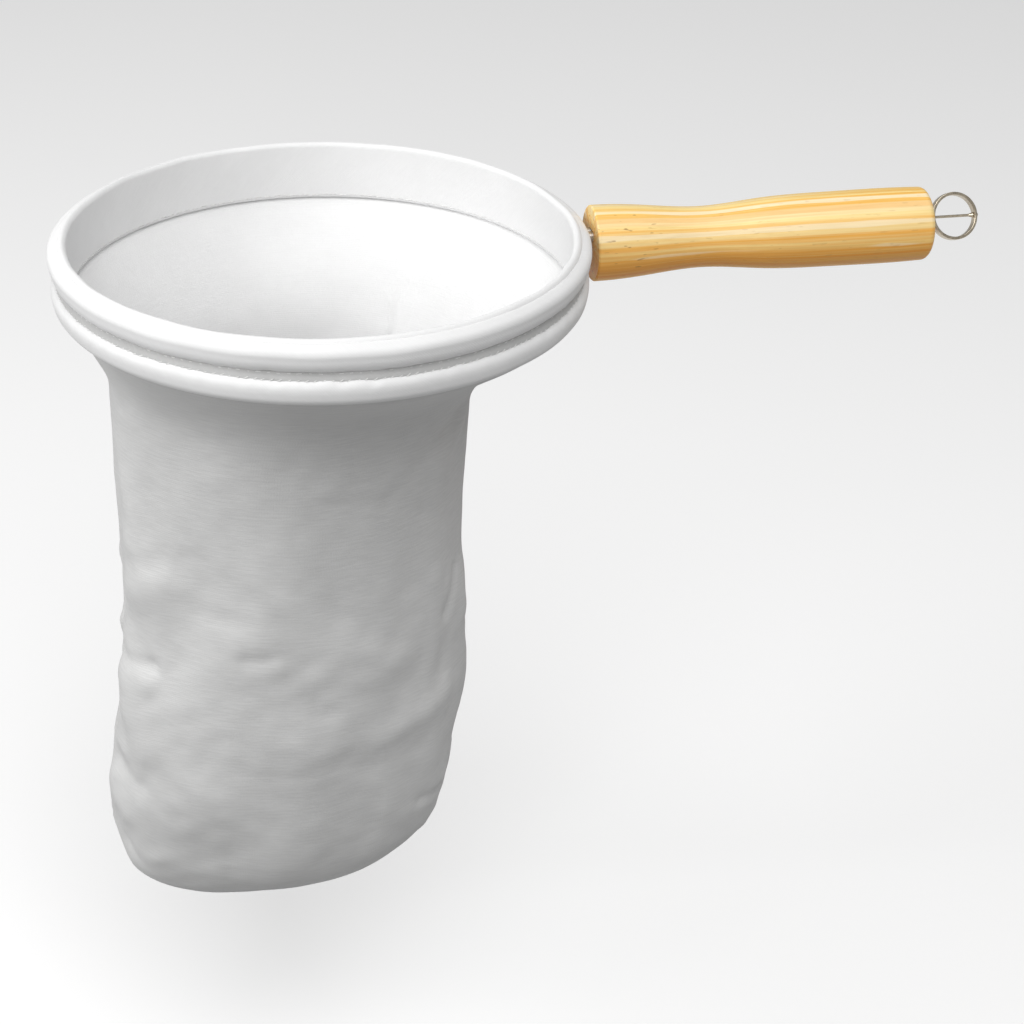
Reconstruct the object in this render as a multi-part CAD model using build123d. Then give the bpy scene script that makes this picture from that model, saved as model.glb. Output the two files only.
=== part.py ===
"""Cloth-bag strainer: a sewn cloth bag on a wire hoop, with a turned wooden handle and a hanging ring.

Frame: origin at the centre of the rim's flat underside, the seat that rests on a vessel's mouth.
+Z up, +X along the handle, and the bag hangs towards -Z. All sizes are in millimetres.
"""

import os
from math import atan2, cos, radians, sin, sqrt

from build123d import *

os.makedirs("parts", exist_ok=True)

# ---------------------------------------------------------------- driving dimensions
# Wire hoop and its two tangs
WIRE_D = 3.0  # hoop wire diameter
HOOP_R = 72.9  # radius of the hoop's centre line
HOOP_Z = 11.9  # the hoop lies a little above the handle's axis
TANG_Y = 1.6  # each tang's distance from the XZ plane
TANG_BEND_R = 3.0  # bend between hoop and tang, at the centre line
TANG_END_X = 107.0  # end of the tangs inside the handle
FIT = 0.05  # radial clearance of wire in cloth and wood

# Sewn rim, from the inside out
BAND_IN_R = 69.8  # inner face of the lining band
BAND_OUT_R = 71.0  # lining band meets the bag's collar
RIM_TOP_Z = 17.7  # crest of the band's turned-over top
BAND_BOTTOM_Z = 0.4  # lower edge of the lining band
BAND_FOLD_R = 1.2  # radius of the turned-over top
COLLAR_OUT_R = 72.0  # outside of the bag's collar
CASING_OUT_R = 75.0  # outside of the casing over the wire
CASING_TOP_Z = 16.6  # the casing's roll fills out to the turned-over top
CASING_BOTTOM_Z = 9.4
STRIP_OUT_R = 73.4  # recessed strip below the casing
HEM_TOP_Z = 6.8
HEM_OUT_R = 74.8  # rolled hem below the strip
HEM_LOW_FILLET = 1.3  # leaves a flat ring under the hem
HEM_TOP_FILLET = 2.2

# Bag: cloth thickness, then outer cross-sections as (z, centre x, half width, half depth)
CLOTH = 1.0
BAG_SECTIONS = [
    (0.0, 0.0, 72.0, 72.0),
    (-5.0, -1.5, 67.9, 65.6),
    (-11.0, -3.5, 62.5, 57.5),
    (-20.0, -6.2, 55.1, 49.5),
    (-29.0, -8.9, 51.8, 44.9),
    (-41.0, -10.6, 51.1, 43.1),
    (-63.0, -11.1, 51.3, 42.0),
    (-77.0, -10.3, 51.5, 41.7),
    (-91.0, -9.3, 51.9, 41.5),
    (-105.0, -9.5, 53.2, 40.6),
    (-119.0, -10.5, 54.8, 39.0),
    (-141.0, -13.3, 55.6, 35.5),
    (-165.0, -17.2, 53.4, 29.5),
    (-183.0, -19.0, 49.4, 21.5),
    (-196.0, -20.0, 39.0, 12.8),
    (-201.0, -19.9, 30.6, 8.4),
    (-206.0, -18.6, 16.0, 3.0),
]
ALLOWANCE = 6.0  # sewn side allowance inside the bag
ALLOWANCE_PLY = 0.8  # one ply of the allowance
ALLOWANCE_TOP_Z = -19.0  # the allowance is trimmed away above this
SEAM_INSET = 1.6  # seam line to the bag's inner face
THREAD_D = 0.5  # sewing thread
FAR = 300.0  # larger than the object, for cutting blocks

# Handle, turned about the X axis: (distance from its front face, radius)
HANDLE_X = 77.0  # front face
HANDLE_Z = 9.2  # height of the axis
HANDLE_LENGTH = 100.5
HANDLE_PROFILE = [
    (0.0, 10.85),
    (15.0, 10.1),
    (32.0, 8.75),
    (51.0, 10.2),
    (71.0, 10.8),
    (89.0, 10.9),
    (100.5, 10.6),
]
HANDLE_FRONT_CHAMFER = 0.4
HANDLE_END_FILLET = 1.8

# Hanging ring, bent from flat strip, and the pin it turns on
RING_OUT_R = 7.0
RING_STRIP_T = 0.9  # strip thickness, radial
RING_STRIP_W = 2.6  # strip width
RING_X = 186.6  # ring centre
PIN_Z = 10.8  # the pin sits a little above the handle's axis
RING_TILT = 27.0  # rest angle of the ring about its pin, in degrees
PIN_D = 0.8
PIN_FIT = 0.05  # radial clearance of the ring on the pin
PILOT_FIT = 0.02  # radial clearance of the pin in its pilot hole
PIN_START_X = 150.0
PIN_COLLAR_R = 0.75
PIN_HEAD_R = 0.8
PIN_HEAD_T = 0.35


def save(shape, node):
    """Write one node as a STEP file."""
    shape.label = node
    export_step(shape, f"parts/{node}.step")


def turned(section):
    """Revolve a sketch drawn on the XZ plane once round the Z axis."""
    return revolve(section, axis=Axis.Z)


def hoop_path():
    """Centre line of the wire: tang, bend, hoop, bend, tang, in one plane."""
    bend_y = TANG_Y + TANG_BEND_R
    bend_x = sqrt((HOOP_R + TANG_BEND_R) ** 2 - bend_y**2)
    turn = atan2(bend_y, bend_x)
    start = (HOOP_R * cos(turn), HOOP_R * sin(turn))
    halfway = (radians(270) + radians(180) + turn) / 2
    middle = (bend_x + TANG_BEND_R * cos(halfway), bend_y + TANG_BEND_R * sin(halfway))
    with BuildLine() as path:
        Line((TANG_END_X, TANG_Y), (bend_x, TANG_Y))
        ThreePointArc((bend_x, TANG_Y), middle, start)
        ThreePointArc(start, (-HOOP_R, 0), (start[0], -start[1]))
        ThreePointArc((start[0], -start[1]), (middle[0], -middle[1]), (bend_x, -TANG_Y))
        Line((bend_x, -TANG_Y), (TANG_END_X, -TANG_Y))
    return path.wires()[0]


def wire_sweep(radius):
    """Round bar along the hoop's centre line."""
    path = Pos(0, 0, HOOP_Z) * hoop_path()
    section = Plane(origin=path @ 0, z_dir=path % 0) * Circle(radius)
    return sweep(section, path=path, transition=Transition.RIGHT)


def ring_section(r0, r1, z0, z1, fillets):
    """Rectangle r0..r1 by z0..z1 on the XZ plane, with (r, z, radius) corner fillets."""
    with BuildSketch(Plane.XZ) as sketch:
        with Locations(((r0 + r1) / 2, (z0 + z1) / 2)):
            Rectangle(r1 - r0, z1 - z0)
        for r, z, radius in fillets:
            corner = [v for v in sketch.vertices() if abs(v.X - r) < 1e-4 and abs(v.Z - z) < 1e-4]
            fillet(corner, radius)
    return sketch.sketch


def bag_body(inset, floor_rise=0.0):
    """Closed solid through the bag's cross-sections, each made smaller by inset."""
    sections = []
    for z, cx, half_w, half_d in BAG_SECTIONS[:-1]:
        sections.append(Pos(cx, 0, z) * Ellipse(half_w - inset, max(half_d - inset, 0.8)))
    z, cx, half_w, half_d = BAG_SECTIONS[-1]
    sections.append(Pos(cx, 0, z + floor_rise) * Ellipse(half_w - inset - floor_rise, max(half_d - inset, 0.8)))
    return loft([face for section in sections for face in section.faces()])


def seam_path():
    """Sewing line on the XZ plane: down one side of the bag, across its foot and up the other side."""
    inset = CLOTH + SEAM_INSET + THREAD_D / 2
    sewn = [section for section in BAG_SECTIONS if section[0] < ALLOWANCE_TOP_Z]
    left = [(cx - half_w + inset, z) for z, cx, half_w, half_d in sewn[:-2]]
    right = [(cx + half_w - inset, z) for z, cx, half_w, half_d in sewn[:-2]]
    foot_z, foot_x, foot_half_w, foot_half_d = sewn[-1]
    foot_level = foot_z + CLOTH + 2 * THREAD_D
    foot = [(foot_x + share * (foot_half_w - inset), foot_level) for share in (-1, 0, 1)]
    with BuildLine(Plane.XZ) as path:
        Spline(left + foot + right[::-1])
    return path.wires()[0]


# ---------------------------------------------------------------- wire hoop
hoop_wire = wire_sweep(WIRE_D / 2)
save(hoop_wire, "hoop_wire")

# ---------------------------------------------------------------- lining band with turned-over top
fold_z = RIM_TOP_Z - BAND_FOLD_R
with BuildSketch(Plane.XZ) as band_sketch:
    with Locations(((BAND_IN_R + BAND_OUT_R) / 2, (BAND_BOTTOM_Z + fold_z) / 2)):
        Rectangle(BAND_OUT_R - BAND_IN_R, fold_z - BAND_BOTTOM_Z)
    with Locations((BAND_IN_R + BAND_FOLD_R, fold_z)):
        Circle(BAND_FOLD_R)
inner_band = turned(band_sketch.sketch)
save(inner_band, "inner_band")

# ---------------------------------------------------------------- casing over the wire
casing = turned(
    ring_section(
        BAND_OUT_R,
        CASING_OUT_R,
        CASING_BOTTOM_Z,
        CASING_TOP_Z,
        [
            (CASING_OUT_R, CASING_TOP_Z, 3.2),
            (CASING_OUT_R, CASING_BOTTOM_Z, 1.95),
        ],
    )
)
casing -= inner_band
casing -= wire_sweep(WIRE_D / 2 + FIT)
save(casing, "wire_casing")

# ---------------------------------------------------------------- recessed strip and rolled hem
hem_strip = turned(ring_section(COLLAR_OUT_R, STRIP_OUT_R, HEM_TOP_Z, CASING_BOTTOM_Z, []))
save(hem_strip, "hem_strip")

hem_roll = turned(
    ring_section(
        COLLAR_OUT_R,
        HEM_OUT_R,
        0.0,
        HEM_TOP_Z,
        [(HEM_OUT_R, HEM_TOP_Z, HEM_TOP_FILLET), (HEM_OUT_R, 0.0, HEM_LOW_FILLET)],
    )
)
save(hem_roll, "hem_roll")


# ---------------------------------------------------------------- stitch rows round the rim
def stitch_row(r, z):
    """Closed ring of sewing thread."""
    return Pos(0, 0, z) * Torus(r, THREAD_D / 2)


save(stitch_row(STRIP_OUT_R + THREAD_D / 2, CASING_BOTTOM_Z - 0.55), "casing_stitch")
save(stitch_row(STRIP_OUT_R + THREAD_D / 2, HEM_TOP_Z + THREAD_D / 2), "hem_stitch")
save(stitch_row(BAND_IN_R - THREAD_D / 2, BAND_BOTTOM_Z + 1.2), "band_stitch")

# ---------------------------------------------------------------- bag panels
collar = turned(ring_section(BAND_OUT_R, COLLAR_OUT_R, 0.0, CASING_BOTTOM_Z, []))
cavity = bag_body(CLOTH, floor_rise=CLOTH)
bag = bag_body(0.0) - cavity + collar
flange = cavity - bag_body(CLOTH + ALLOWANCE, floor_rise=CLOTH)
flange &= Pos(0, 0, ALLOWANCE_TOP_Z - FAR / 2) * Box(FAR, 2 * ALLOWANCE_PLY, FAR)
bag += flange
front_side = Pos(0, -FAR / 2, -100) * Box(FAR, FAR, FAR)
back_side = Pos(0, FAR / 2, -100) * Box(FAR, FAR, FAR)
save(bag & front_side, "bag_front_panel")
save(bag & back_side, "bag_back_panel")

# Seam thread: needle thread on one side of the allowance, bobbin thread on the other
seam = seam_path()
stitch = Plane(origin=seam @ 0, z_dir=seam % 0) * Circle(THREAD_D / 2)
thread = sweep(stitch, path=seam)
needle_y = ALLOWANCE_PLY + THREAD_D / 2 + FIT
threads = [(Pos(0, side * needle_y, 0) * thread).solid() for side in (-1, 1)]
save(Compound(children=threads), "side_seam_thread")

# ---------------------------------------------------------------- handle
with BuildSketch(Plane.XZ) as handle_sketch:
    with BuildLine():
        outline = Spline([(HANDLE_X + x, r) for x, r in HANDLE_PROFILE])
        Line(outline @ 1, (HANDLE_X + HANDLE_LENGTH, 0))
        Line((HANDLE_X + HANDLE_LENGTH, 0), (HANDLE_X, 0))
        Line((HANDLE_X, 0), outline @ 0)
    make_face()
handle = Pos(0, 0, HANDLE_Z) * revolve(handle_sketch.sketch, axis=Axis.X)
front_edge = handle.edges().filter_by(GeomType.CIRCLE).sort_by(Axis.X)[0]
handle = chamfer(front_edge, HANDLE_FRONT_CHAMFER)
back_edge = handle.edges().filter_by(GeomType.CIRCLE).sort_by(Axis.X)[-1]
handle = fillet(back_edge, HANDLE_END_FILLET)
socket_h = WIRE_D + 2 * FIT
socket_w = 2 * TANG_Y + WIRE_D + 2 * FIT
socket = extrude(Plane.YZ * SlotOverall(socket_w, socket_h), TANG_END_X + 1.0 - HANDLE_X + 5.0)
handle -= Pos(HANDLE_X - 5.0, 0, HOOP_Z) * socket
pilot = extrude(Plane.YZ * Circle(PIN_D / 2 + PILOT_FIT), HANDLE_X + HANDLE_LENGTH - PIN_START_X + 1.0)
handle -= Pos(PIN_START_X - 0.5, 0, PIN_Z) * pilot
save(handle, "handle")

# ---------------------------------------------------------------- hanging ring and its pin
ring = extrude(Circle(RING_OUT_R), RING_STRIP_W / 2, both=True)
ring -= extrude(Circle(RING_OUT_R - RING_STRIP_T), RING_STRIP_W, both=True)
ring = fillet(ring.edges().filter_by(GeomType.CIRCLE), 0.2)
ring -= extrude(Plane.YZ * Circle(PIN_D / 2 + PIN_FIT), 20, both=True)
ring = Pos(RING_X, 0, PIN_Z) * Rot(90 - RING_TILT, 0, 0) * ring
save(ring, "hanging_ring")

far_wall_in = RING_X + RING_OUT_R - RING_STRIP_T
far_wall_out = RING_X + RING_OUT_R
with BuildSketch(Plane.XZ) as pin_sketch:
    with BuildLine():
        Polyline(
            (PIN_START_X, 0),
            (PIN_START_X + 1.2, PIN_D / 2),
            (far_wall_in - 1.5, PIN_D / 2),
            (far_wall_in - 0.25, PIN_COLLAR_R),
            (far_wall_in - 0.1, PIN_COLLAR_R),
            (far_wall_in - 0.1, PIN_D / 2),
            (far_wall_out + 0.1, PIN_D / 2),
            (far_wall_out + 0.1, PIN_HEAD_R),
            (far_wall_out + 0.1 + PIN_HEAD_T, PIN_HEAD_R * 0.6),
            (far_wall_out + 0.1 + PIN_HEAD_T, 0),
            close=True,
        )
    make_face()
pin = Pos(0, 0, PIN_Z) * revolve(pin_sketch.sketch, axis=Axis.X)
save(pin, "ring_pin")
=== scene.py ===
"""Cloth-bag strainer: the sewn bag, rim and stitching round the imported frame, with finishes and a studio.

Lengths typed here are in millimetres and angles in degrees, apart from the user's sizes, the cloth's flat
size and the studio, which are in metres. Meshes are made in metres. The origin is the centre of the rim's
underside, +Z is up, +X runs along the handle, and the bag hangs towards -Z.
"""

import bpy
import numpy as np
from mathutils import Matrix, Vector


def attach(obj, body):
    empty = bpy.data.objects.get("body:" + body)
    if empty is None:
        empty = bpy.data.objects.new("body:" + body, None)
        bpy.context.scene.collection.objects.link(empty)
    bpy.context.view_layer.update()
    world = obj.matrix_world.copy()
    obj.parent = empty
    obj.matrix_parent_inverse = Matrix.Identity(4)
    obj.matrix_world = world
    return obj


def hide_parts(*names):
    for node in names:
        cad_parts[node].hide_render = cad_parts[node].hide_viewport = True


bl_info = {
    "name": "Cloth Bag Strainer",
    "version": (1, 0, 0),
    "blender": (4, 5, 0),
    "location": "View3D > Sidebar > Strainer",
    "description": "Builds the cloth, stitching and finishes of a cloth-bag strainer round its frame",
    "category": "Object",
}

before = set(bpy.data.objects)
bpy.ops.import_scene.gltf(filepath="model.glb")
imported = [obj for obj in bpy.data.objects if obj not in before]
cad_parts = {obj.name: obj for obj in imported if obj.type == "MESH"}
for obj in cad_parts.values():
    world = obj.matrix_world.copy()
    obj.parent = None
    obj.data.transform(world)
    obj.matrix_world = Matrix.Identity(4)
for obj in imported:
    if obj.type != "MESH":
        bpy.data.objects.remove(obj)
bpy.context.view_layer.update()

MM = 0.001

# Side outline of the bag seen square to the handle: height, left edge, right edge
OUTLINE = [
    (9.0, -71.5, 71.5),
    (0.8, -71.5, 71.5),
    (-0.2, -71.3, 71.3),
    (-1.4, -70.3, 70.2),
    (-5.0, -68.2, 65.6),
    (-11.0, -65.0, 57.5),
    (-21.0, -60.2, 46.8),
    (-29.0, -60.2, 42.0),
    (-34.0, -60.6, 40.6),
    (-41.0, -61.2, 40.0),
    (-51.0, -62.1, 39.6),
    (-61.0, -62.0, 39.6),
    (-76.0, -61.4, 40.8),
    (-91.0, -60.6, 42.0),
    (-101.0, -61.7, 43.1),
    (-116.0, -64.3, 43.8),
    (-131.0, -66.4, 43.2),
    (-141.0, -68.6, 42.0),
]
# Half of the bag's front-to-back depth: height, half depth
HALF_DEPTH = [
    (9.0, 71.5),
    (0.8, 71.5),
    (-0.2, 71.3),
    (-1.4, 70.2),
    (-5.0, 65.2),
    (-11.0, 56.0),
    (-20.0, 48.5),
    (-28.0, 44.5),
    (-41.0, 42.5),
    (-63.0, 41.5),
    (-91.0, 41.0),
    (-119.0, 38.5),
    (-141.0, 35.0),
]
# The sewn foot of the bag, from its left side to its right: x, z
FOOT = [
    (-70.6, -172.0),
    (-69.0, -180.0),
    (-64.9, -189.5),
    (-57.9, -196.3),
    (-46.0, -201.6),
    (-24.0, -204.4),
    (-8.0, -204.3),
    (8.6, -200.8),
    (19.3, -194.5),
    (27.0, -187.5),
    (31.8, -179.0),
    (34.6, -170.0),
    (36.2, -160.0),
]
# Folds and dents on the front: angle and height of both ends, how far it stands out, and its width
FRONT_FOLDS = [
    (13, -37, 18, -50, 1.3, 6.0),
    (36, -47, 34, -62, -1.1, 6.5),
    (24, -72.6, 38, -68, -1.2, 4.0),
    (18, -84, 41, -77, 1.7, 6.0),
    (2, -86, 8, -86, -1.6, 5.0),
    (2, -108, 31, -106.4, -1.9, 2.8),
    (8, -115, 30, -112, 1.1, 4.5),
    (18, -123, 32, -136.5, 1.6, 7.0),
    (12, -146, 27, -151, -1.3, 4.5),
    (7, -157, 18, -165.6, 1.3, 6.0),
    (49, -65, 55, -64.3, -0.9, 3.5),
    (58, -68.4, 69, -75.6, -0.6, 5.0),
    (53, -82.7, 68, -84.2, -0.6, 3.8),
    (68, -97, 75, -96.6, -0.8, 2.8),
    (81, -85.4, 87, -98.9, -0.7, 5.0),
    (84, -68.8, 99, -83.9, -0.6, 7.0),
    (87, -110.5, 95, -117, -0.8, 4.0),
    (94, -40.2, 112, -43.2, 0.38, 2.2),
    (92, -44.5, 110, -46.8, -0.38, 2.4),
    (129, -38.4, 147, -31.6, -1.2, 3.8),
    (140, -43, 157, -34, 1.2, 5.0),
    (120, -47.4, 132, -55.7, -1.2, 4.5),
    (156, -84.2, 147, -96, -1.5, 2.6),
    (166, -86, 161, -102, 1.0, 5.0),
    (115, -131.6, 145, -124, 1.5, 5.0),
    (119, -113.6, 143, -112, -1.2, 7.0),
    (137, -163.5, 160, -166, -1.3, 2.6),
    (128, -190, 139, -186, -1.0, 5.0),
    (62, -38, 84, -46, 0.7, 8.0),
    (70, -120, 92, -131, 0.8, 9.0),
    (58, -140, 76, -146, -0.8, 8.0),
    (100, -96, 116, -104, 0.8, 8.0),
    (231, -14, 224, -36, -1.9, 2.2),
]
BAG_COLUMNS = 220
UPPER_ROWS = 120
LOWER_ROWS = 60
# Heights of the upper rows: share of the rows, and the height reached there. They lie closest under the rim
ROW_HEIGHTS = [(0.0, 9.0), (0.04, 1.0), (0.2, -6.0), (1.0, -141.0)]
HANDLE_AXIS_Z = 9.2
# Pale streaks of painted highlight: angle round the handle's axis from the front, half width in degrees,
# strength
HIGHLIGHT_STREAKS = [
    (72, 6, 0.85),
    (27, 6, 0.70),
    (52, 10, 0.35),
    (96, 5, 0.5),
    (-8, 4, 0.45),
    (140, 7, 0.6),
    (185, 6, 0.6),
    (215, 5, 0.4),
]
# Width in metres that the bag's weave is laid along
WEAVE_GIRTH = 0.300
# Settling: frames simulated, height above which the cloth is held, and rounds of smoothing across the columns
SETTLE_FRAMES = 20
HELD_ABOVE = -3.0
SMOOTHING_ROUNDS = 4
# Seam allowance: its top, points along it, points round its section, and a place well inside the bag
ALLOWANCE_TOP = -19.0
ALLOWANCE_ROWS = 260
PLY_POINTS = 20
BAG_INSIDE = (-12.0, 0.0, -110.0)
# Side seam's stitches: step along the seam, depth into the allowance, height above its middle
SEAM_STEP = 2.8
SEAM_DEPTH = 1.9
SEAM_STAND = 0.78
# Points round each of the rim's rings
BAND_COLUMNS = 420
ROLL_COLUMNS = 520
# Length after which a wave texture of scale 1 repeats, and a shorter one that sets the warp a little wider
WEFT_REPEAT = 0.314159
WARP_REPEAT = 0.270
# Studio in metres and degrees: floor, and the camera's place round the object
FLOOR_LEVEL = -0.30
FLOOR_REACH = 8.0
CAMERA_AZIMUTH = -12.66
CAMERA_RISE = 29.05
CAMERA_ROLL = 1.48
CAMERA_DISTANCE = 0.7
CAMERA_TARGET = (0.0561, 0.0, -0.0765)


# ---------------------------------------------------------------- sizes and colours a user would change
def length(name, description, default):
    """A length in metres."""
    return bpy.props.FloatProperty(
        name=name, description=description, default=default, unit="LENGTH", subtype="DISTANCE"
    )


class StrainerSizes(bpy.types.PropertyGroup):
    """Sizes of the sewn parts"""

    cloth: length("Cloth", "Thickness of the bag's cloth", 0.0008)
    fold_depth: bpy.props.FloatProperty(
        name="Fold depth",
        description="Scale of the folds and dents in the bag",
        default=1.0,
        subtype="FACTOR",
    )
    settle_limit: length("Settle limit", "Farthest that a point of the bag may move while it settles", 0.0025)
    thread: length("Thread", "Thickness of the sewing thread", 0.00042)
    stitch: length("Stitch", "Length of one stitch", 0.0026)


def colour(name, description, default):
    """A colour picker for one finish."""
    return bpy.props.FloatVectorProperty(
        name=name, description=description, default=default, size=3, min=0.0, max=1.0, subtype="COLOR"
    )


class StrainerColours(bpy.types.PropertyGroup):
    """Colours of the finishes"""

    # Outside and inside of the bag are one cloth in two copies: the outside painted darker as shade, the
    # inside painted lighter as light
    flannel: colour("Flannel", "Outside of the bag's cloth, painted darker as shade", (0.67, 0.67, 0.665))
    brushed: colour("Brushed flannel", "Inside of the bag's cloth, painted lighter as light", (0.82, 0.82, 0.82))
    binding: colour("Binding", "Cloth of the rim", (0.84, 0.84, 0.84))
    # The strip is the rim's cloth painted darker, as the shade of its recess
    strip_painted_shade: colour("Strip, painted shade", "Cloth of the recessed strip, painted darker as shade", (0.56, 0.56, 0.555))
    thread: colour("Thread", "Sewing thread", (0.80, 0.80, 0.79))
    early_wood: colour("Early wood", "Pale wood between the grain lines", (1.0, 0.74, 0.33))
    late_wood: colour("Late wood", "Dark wood of the grain lines", (0.90, 0.56, 0.16))
    # Painted shade on the handle's lower side
    underside_painted_shade: colour("Underside, painted shade", "Lower side, painted darker as shade", (0.88, 0.42, 0.02))
    # Painted highlights: pale streaks along the handle
    painted_highlight: colour("Painted highlight", "Pale streaks of painted highlight on the wood", (1.0, 0.84, 0.56))
    steel: colour("Steel", "Wire of the hoop", (0.55, 0.53, 0.50))
    strip: colour("Strip", "Hanging ring and its pin", (0.56, 0.49, 0.38))
    floor: colour("Floor", "Studio floor", (0.84, 0.84, 0.84))


def watts(name, description, default):
    """A light's power."""
    return bpy.props.FloatProperty(name=name, description=description, default=default, unit="POWER")


class StrainerStudio(bpy.types.PropertyGroup):
    """Studio light and lens"""

    overhead: watts("Overhead", "Light of the large panel above", 5.0)
    key: watts("Key", "Light of the panel high at the front", 29.5)
    left: watts("Left", "Light of the panel at the left", 10.0)
    ambient: bpy.props.FloatProperty(
        name="Ambient", description="Brightness of the studio walls", default=0.32, subtype="FACTOR"
    )
    lens: bpy.props.FloatProperty(name="Lens", description="Focal length", default=81.73, unit="CAMERA")


# ---------------------------------------------------------------- shape tools
def smooth(x, knots, values):
    """Cubic through the knots: between two of them, Hermite's blend of both values and both slopes."""
    knots = np.asarray(knots, float)
    values = np.asarray(values, float)
    slopes = np.gradient(values, knots)
    i = np.clip(np.searchsorted(knots, x, side="right") - 1, 0, len(knots) - 2)
    span = knots[i + 1] - knots[i]
    t = np.clip((x - knots[i]) / span, 0, 1)
    start = (2 * t**3 - 3 * t**2 + 1) * values[i] + (t**3 - 2 * t**2 + t) * span * slopes[i]
    end = (-2 * t**3 + 3 * t**2) * values[i + 1] + (t**3 - t**2) * span * slopes[i + 1]
    return start + end


def loop_through(points, count):
    """Closed smooth loop: a periodic cubic through the points, read at even steps of their running length."""
    p = np.asarray(points, float)
    padded = np.vstack([p[-3:], p, p[:4]])
    run = np.concatenate([[0], np.cumsum(np.hypot(*np.diff(padded, axis=0).T))])
    at = np.linspace(run[3], run[3 + len(p)], count, endpoint=False)
    return np.column_stack([smooth(at, run, padded[:, 0]), smooth(at, run, padded[:, 1])])


def waves(angle, seed, bands, size):
    """Gentle irregularity round a ring: a sum of whole-number sine waves with random phase and strength."""
    rng = np.random.default_rng(seed)
    counts = rng.integers(bands[0], bands[1], 9)
    phases = rng.uniform(0, 2 * np.pi, 9)
    strengths = rng.uniform(0.3, 1.0, 9)
    total = np.sin(angle[..., None] * counts + phases) * strengths
    return size * total.sum(-1) / 3.0


def sheet_faces(rows, columns, wrap_rows, wrap_columns):
    """Quads of a grid: each joins a vertex with its neighbour in the row, and the two below them."""
    r = np.arange(rows if wrap_rows else rows - 1)[:, None]
    c = np.arange(columns if wrap_columns else columns - 1)[None, :]
    r2 = (r + 1) % rows
    c2 = (c + 1) % columns
    here = r * columns
    below = r2 * columns
    return np.stack([here + c, here + c2, below + c2, below + c], -1).reshape(-1, 4)


def corner_uv(u, v, wrap_rows, wrap_columns):
    """UV of each quad's corners. U and v are running lengths in metres, with one more entry than faces."""
    rows = len(v) - 1
    columns = len(u) - 1
    r = np.arange(rows)[:, None] + 0 * np.arange(columns)[None, :]
    c = 0 * np.arange(rows)[:, None] + np.arange(columns)[None, :]
    us = np.stack([u[c], u[c + 1], u[c + 1], u[c]], -1)
    vs = np.stack([v[r], v[r], v[r + 1], v[r + 1]], -1)
    return np.stack([us, vs], -1).reshape(-1, 2)


def make_mesh(name, points, faces, uv=None, flip=False):
    """New smooth-shaded object at the origin from points in metres, quads, and a UV for each corner."""
    if flip:
        faces = faces[:, ::-1]
        uv = None if uv is None else uv.reshape(-1, 4, 2)[:, ::-1].reshape(-1, 2)
    mesh = bpy.data.meshes.new(name)
    mesh.from_pydata(np.asarray(points, float).reshape(-1, 3).tolist(), [], np.asarray(faces).tolist())
    if uv is not None:
        layer = mesh.uv_layers.new(name="UVMap")
        layer.data.foreach_set("uv", np.ascontiguousarray(uv, np.float32).ravel())
    mesh.polygons.foreach_set("use_smooth", np.ones(len(mesh.polygons), bool))
    mesh.update()
    obj = bpy.data.objects.new(name, mesh)
    bpy.context.scene.collection.objects.link(obj)
    return obj


def ring_piece(name, profile, columns, radial=None, rise=None):
    """Ring from a closed section: the point at (r, z) is carried round the Z axis, and radial and rise add a
    small wander that depends on the angle and on the place along the section. The section's signed area says
    which way round it runs, and so which way its faces look."""
    profile = np.asarray(profile, float)
    after = np.roll(profile, -1, 0)
    area = (profile[:, 0] * after[:, 1] - after[:, 0] * profile[:, 1]).sum()
    angle = np.linspace(0, 2 * np.pi, columns, endpoint=False)
    r = profile[:, 0][:, None] + (0 if radial is None else radial) + 0 * angle
    z = profile[:, 1][:, None] + (0 if rise is None else rise) + 0 * angle
    points = np.stack([r * np.cos(angle), r * np.sin(angle), z], -1) * MM
    closed = np.vstack([profile, profile[:1]])
    v = np.concatenate([[0], np.cumsum(np.hypot(*np.diff(closed, axis=0).T))]) * MM
    u = np.linspace(0, 2 * np.pi, columns + 1) * profile[:, 0].mean() * MM
    faces = sheet_faces(len(profile), columns, True, True)
    return make_mesh(name, points, faces, corner_uv(u, v, True, True), flip=area < 0)


def stitches(name, centres, along, out, length, thickness, bow):
    """Row of stitches: each is a six-sided tube along a short arc, its ends thinner and sunk by bow, so its
    middle stands proud of the cloth."""
    t = np.linspace(-1, 1, 6)
    round_ = np.linspace(0, 2 * np.pi, 6, endpoint=False)
    side = np.cross(along, out)
    line = centres[:, None] + along[:, None] * (t * length / 2)[None, :, None]
    line = line - out[:, None] * (bow * t**2)[None, :, None]
    girth = (thickness / 2) * np.sqrt(np.clip(1.02 - t**6, 0.02, 1))
    ring = side[:, None, None] * np.cos(round_)[None, None, :, None]
    ring = ring + out[:, None, None] * np.sin(round_)[None, None, :, None]
    points = line[:, :, None] + ring * girth[None, :, None, None]
    one = sheet_faces(6, 6, False, True)
    caps = np.array([[0, 1, 2, 3], [0, 3, 4, 5], [33, 32, 31, 30], [35, 34, 33, 30]])
    one = np.vstack([one[:, ::-1], caps])
    faces = (one[None] + 36 * np.arange(len(centres))[:, None, None]).reshape(-1, 4)
    return make_mesh(name, points, faces)


def finish_piece(obj, material, nodes):
    """Give a piece its material in a slot, hang it on the strainer, and let it stand for CAD nodes."""
    obj.data.materials.clear()
    obj.data.materials.append(material)
    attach(obj, "strainer")
    if nodes:
        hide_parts(*nodes)
    return obj


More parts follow.
